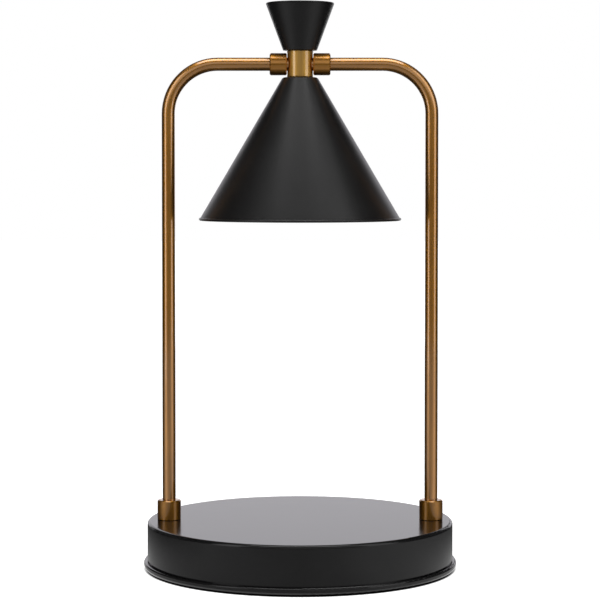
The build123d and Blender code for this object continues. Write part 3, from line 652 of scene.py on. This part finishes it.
def lay_floor():
    """The floor sheet."""
    mesh = bpy.data.meshes.new("floor")
    corners = [(-floor_reach, -floor_reach, 0), (floor_reach, -floor_reach, 0)]
    corners += [(floor_reach, floor_reach, 0), (-floor_reach, floor_reach, 0)]
    mesh.from_pydata(corners, [], [(0, 1, 2, 3)])
    mesh.materials.append(floor_paper())
    floor = put_in_scene("floor", mesh)


def studio_world():
    """White to the camera and through glass, nearly so in reflections, and a soft light on matt surfaces."""
    made = bpy.data.worlds.new("studio")
    made.use_nodes = True
    tree = made.node_tree
    tree.nodes.clear()
    path = add(tree, "LightPath")
    strength = spread(tree, seen_directly(tree, path), 0.0, 1.0, sky_light, 1.0)
    tint = blend_colours(tree, path.outputs["Is Glossy Ray"], sky_white, sky_in_gloss)
    sky = add(tree, "Background", {"Color": tint, "Strength": strength})
    add(tree, "OutputWorld", {"Surface": sky.outputs[0]})
    return made


def photograph_camera():
    """The photograph's camera: nearly level, at the height of the shade."""
    data = bpy.data.cameras.new("camera")
    data.sensor_width = 36.0
    data.lens = 126.45
    data.shift_x = -0.0001
    data.shift_y = -0.0694
    made = put_in_scene("camera", data)
    made.location = (0, -camera_distance, camera_height)
    made.rotation_euler = (radians(90 - camera_looks_down), 0, 0)
    return made


# Lamps: one large softbox overhead and a tall one at each side of the front
softbox("overhead_softbox", (0, overhead_forward, 1.30), size=(1.0, 0.64),
        aim=(0, overhead_forward, base_top), radiance=2.9)
softbox("left_softbox", around(-54, lamp_distance, 0.52), size=(0.36, 1.0), aim=lamp_aim, radiance=1.5)
softbox("right_softbox", around(61, lamp_distance, 0.64), size=(0.50, 1.24), aim=lamp_aim, radiance=1.25)

# Room: a front wall that is bright higher up, dark side walls, and a window behind the lamp, through
# which the white world shows. A level is a height and the radiance there
front_levels = [(0.0, 0.06), (0.28, 0.06), (0.42, 0.17), (0.62, 0.68), (1.2, 0.60), (ceiling_level, 0.12)]
side_levels = [(0.0, 0.005), (0.25, 0.01), (0.5, 0.07), (0.8, 0.07), (1.1, 0.01), (ceiling_level, 0.01)]
wall("front_wall", front_levels, [(-52, 0.6), (-30, 1), (30, 1), (52, 0.6)])
wall("left_wall", side_levels, [(-150, 1), (-52, 1)])
wall("right_wall", side_levels, [(52, 1), (147, 1)])
wall("window_header", [(window_top, 0.02), (ceiling_level, 0.02)], [(147, 1), (210, 1)])
curved_panel("ceiling", [(0.01, ceiling_level, [(0, 0.12), (360, 0.12)]),
                         (room_radius, ceiling_level, [(0, 0.1), (360, 0.1)])])

# What the floor shows in reflections: bright beside the base and darker further out to its sides.
# A stop is an azimuth and the radiance there
beside_base = [(-180, 0.30), (-150, 0.18), (-128, 0.18), (-106, 0.36), (-85, 0.48), (-50, 0.50),
               (-25, 0.46), (0, 0.37), (20, 0.46), (38, 0.68), (58, 0.68), (74, 0.64), (93, 0.48),
               (110, 0.30), (128, 0.12), (150, 0.15), (180, 0.30)]
near_base = [(-180, 0.20), (-125, 0.12), (-95, 0.28), (-75, 0.42), (-50, 0.54), (-25, 0.48), (0, 0.36),
             (20, 0.46), (38, 0.68), (58, 0.68), (74, 0.62), (90, 0.42), (110, 0.22), (128, 0.10),
             (180, 0.20)]
off_base = [(-180, 0.10), (-120, 0.02), (-95, 0.03), (-75, 0.22), (-55, 0.50), (-30, 0.46), (0, 0.36),
            (20, 0.46), (38, 0.66), (58, 0.66), (74, 0.58), (88, 0.40), (97, 0.27), (110, 0.13),
            (125, 0.06), (180, 0.10)]
far_floor = [(-180, 0.04), (-95, 0.05), (-75, 0.50), (-60, 0.75), (-45, 0.60), (-25, 0.34), (0, 0.30),
             (25, 0.34), (45, 0.60), (60, 0.75), (75, 0.50), (95, 0.05), (180, 0.04)]
sheen_rings = [(sheen_inner_edge, beside_base), (0.16, near_base), (0.23, off_base), (0.36, far_floor)]
sheen_rows = [(distance, sheen_level, stops) for distance, stops in sheen_rings]
curved_panel("floor_sheen", [*sheen_rows, (room_radius, sheen_outer_level, far_floor)])

lay_floor()
bpy.context.scene.world = studio_world()
bpy.context.scene.camera = photograph_camera()
bpy.context.scene.view_settings.view_transform = "Standard"
